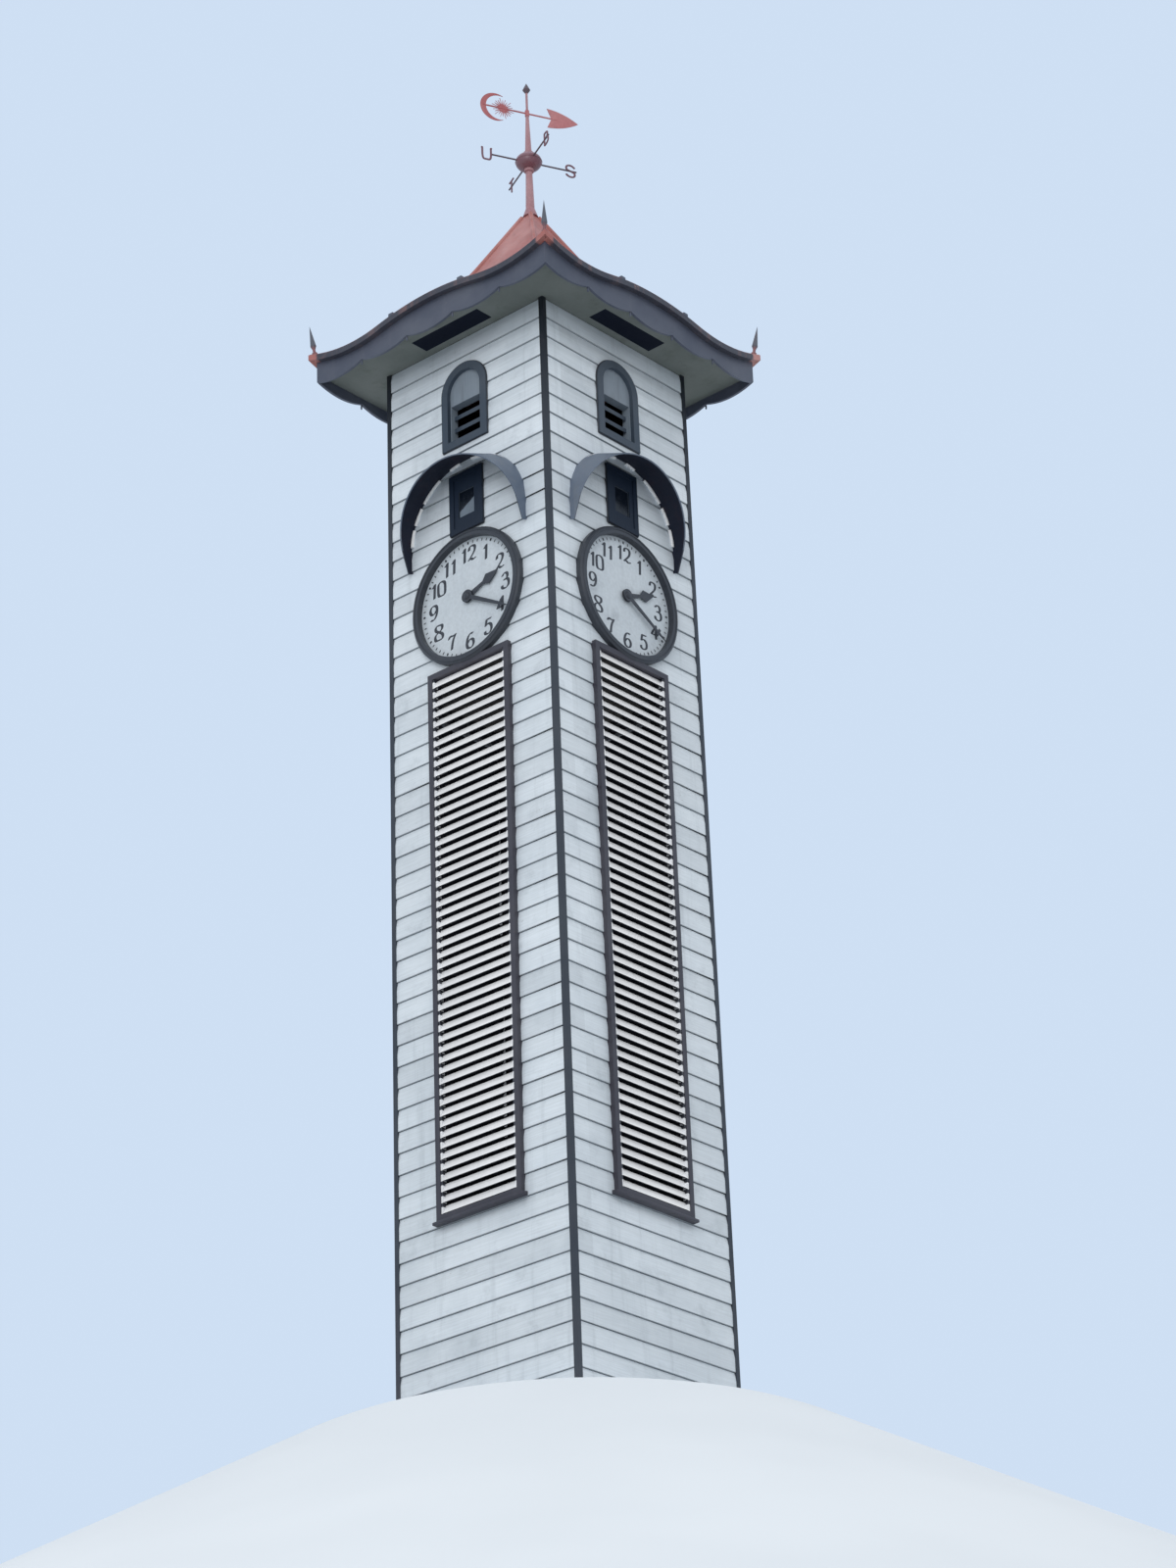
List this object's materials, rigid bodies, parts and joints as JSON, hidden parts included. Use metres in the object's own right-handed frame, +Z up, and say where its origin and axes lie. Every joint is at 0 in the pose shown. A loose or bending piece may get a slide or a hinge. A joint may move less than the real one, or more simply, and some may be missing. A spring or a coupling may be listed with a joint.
{
  "type": "timber clock tower",
  "caption": "Tall square timber clock tower with a dial, hood, hatch, arched vent and louvred panel on each side, and a curved hipped roof with a wind vane.",
  "frame": {"origin": "middle of the ground-floor slab's underside, on the ground under the mast", "axes": "+Z up; the front wall faces -Y and the right wall faces +X"},
  "size_m": [3.384, 3.384, 15.6999],
  "materials": {
    "white_boards": "white paint, semi-matt, slightly weathered",
    "slate_trim": "dark slate paint, satin",
    "plum_trim": "dark plum-grey paint, satin",
    "white_slats": "white paint, satin",
    "dial_white": "white enamel paint, satin",
    "rim_slate": "dark slate paint, satin",
    "hand_black": "black paint, satin",
    "hood_grey": "slate paint on sheet, satin",
    "pane_glass": "clear glass",
    "pale_panel": "pale grey paint, semi-matt",
    "soffit_paint": "greenish-grey paint, matt",
    "vent_dark": "dark mesh, matt",
    "fascia_slate": "slate-purple paint, satin",
    "roof_red": "salmon-red paint on sheeted boards, satin",
    "mast_red": "salmon-red paint, satin",
    "ball_maroon": "maroon paint, satin",
    "rod_dark": "dark paint, satin",
    "floor_boards": "plain boards, matt",
    "slab": "concrete, matt"
  },
  "bodies": {
    "tower": {"wall_front": "white_boards", "fascia_front": "fascia_slate", "roof_front": "roof_red", "wall_right": "white_boards", "fascia_right": "fascia_slate", "roof_right": "roof_red", "wall_back": "white_boards", "fascia_back": "fascia_slate", "roof_back": "roof_red", "wall_left": "white_boards", "fascia_left": "fascia_slate", "roof_left": "roof_red", "corner_boards": "slate_trim", "ground_floor": "slab", "clock_room_floor": "floor_boards", "louvre_frames": "plum_trim", "louvre_blades": "white_slats", "dials": "dial_white", "dial_rims": "rim_slate", "hoods": "hood_grey", "hatch_frames": "slate_trim", "hatch_doors": "slate_trim", "hatch_panes": "pane_glass", "window_frames": "slate_trim", "window_panels": "pale_panel", "window_slats": "slate_trim", "soffit": "soffit_paint", "soffit_vents": "vent_dark", "corner_spikes": "rod_dark", "mast": "mast_red", "compass_ball": "ball_maroon", "compass_arms": "rod_dark", "spindle": "mast_red", "spindle_bud": "rod_dark"},
    "minute_front_train": {"minute_hand_front": "hand_black"},
    "hour_front_train": {"hour_hand_front": "hand_black"},
    "minute_right_train": {"minute_hand_right": "hand_black"},
    "hour_right_train": {"hour_hand_right": "hand_black"},
    "minute_back_train": {"minute_hand_back": "hand_black"},
    "hour_back_train": {"hour_hand_back": "hand_black"},
    "minute_left_train": {"minute_hand_left": "hand_black"},
    "hour_left_train": {"hour_hand_left": "hand_black"},
    "vane_body": {"vane": "mast_red"}
  },
  "joints": [
    {"name": "vane_spin", "type": "hinge", "parent": "tower", "child": "vane_body", "pos_m": [0, 0, 15.3], "axis": [0, 0, 1], "continuous": true},
    {"name": "front_minute_spin", "type": "hinge", "parent": "tower", "child": "minute_front_train", "pos_m": [0, -1.09538, 8.85594], "axis": [0, 1, -0.0037], "continuous": true},
    {"name": "front_hour_spin", "type": "hinge", "parent": "tower", "child": "hour_front_train", "pos_m": [0, -1.09538, 8.85594], "axis": [0, 1, -0.0037], "continuous": true},
    {"name": "right_minute_spin", "type": "hinge", "parent": "tower", "child": "minute_right_train", "pos_m": [1.09538, 0, 8.85594], "axis": [-1, 0, -0.0037], "continuous": true},
    {"name": "right_hour_spin", "type": "hinge", "parent": "tower", "child": "hour_right_train", "pos_m": [1.09538, 0, 8.85594], "axis": [-1, 0, -0.0037], "continuous": true},
    {"name": "back_minute_spin", "type": "hinge", "parent": "tower", "child": "minute_back_train", "pos_m": [0, 1.09538, 8.85594], "axis": [0, -1, -0.0037], "continuous": true},
    {"name": "back_hour_spin", "type": "hinge", "parent": "tower", "child": "hour_back_train", "pos_m": [0, 1.09538, 8.85594], "axis": [0, -1, -0.0037], "continuous": true},
    {"name": "left_minute_spin", "type": "hinge", "parent": "tower", "child": "minute_left_train", "pos_m": [-1.09538, 0, 8.85594], "axis": [1, 0, -0.0037], "continuous": true},
    {"name": "left_hour_spin", "type": "hinge", "parent": "tower", "child": "hour_left_train", "pos_m": [-1.09538, 0, 8.85594], "axis": [1, 0, -0.0037], "continuous": true}
  ],
  "couplings": [
    {"joint": "front_hour_spin", "follows": "front_minute_spin", "ratio": 0.083333},
    {"joint": "right_minute_spin", "follows": "front_minute_spin", "ratio": 1},
    {"joint": "right_hour_spin", "follows": "front_minute_spin", "ratio": 0.083333},
    {"joint": "back_minute_spin", "follows": "front_minute_spin", "ratio": 1},
    {"joint": "back_hour_spin", "follows": "front_minute_spin", "ratio": 0.083333},
    {"joint": "left_minute_spin", "follows": "front_minute_spin", "ratio": 1},
    {"joint": "left_hour_spin", "follows": "front_minute_spin", "ratio": 0.083333}
  ]
}
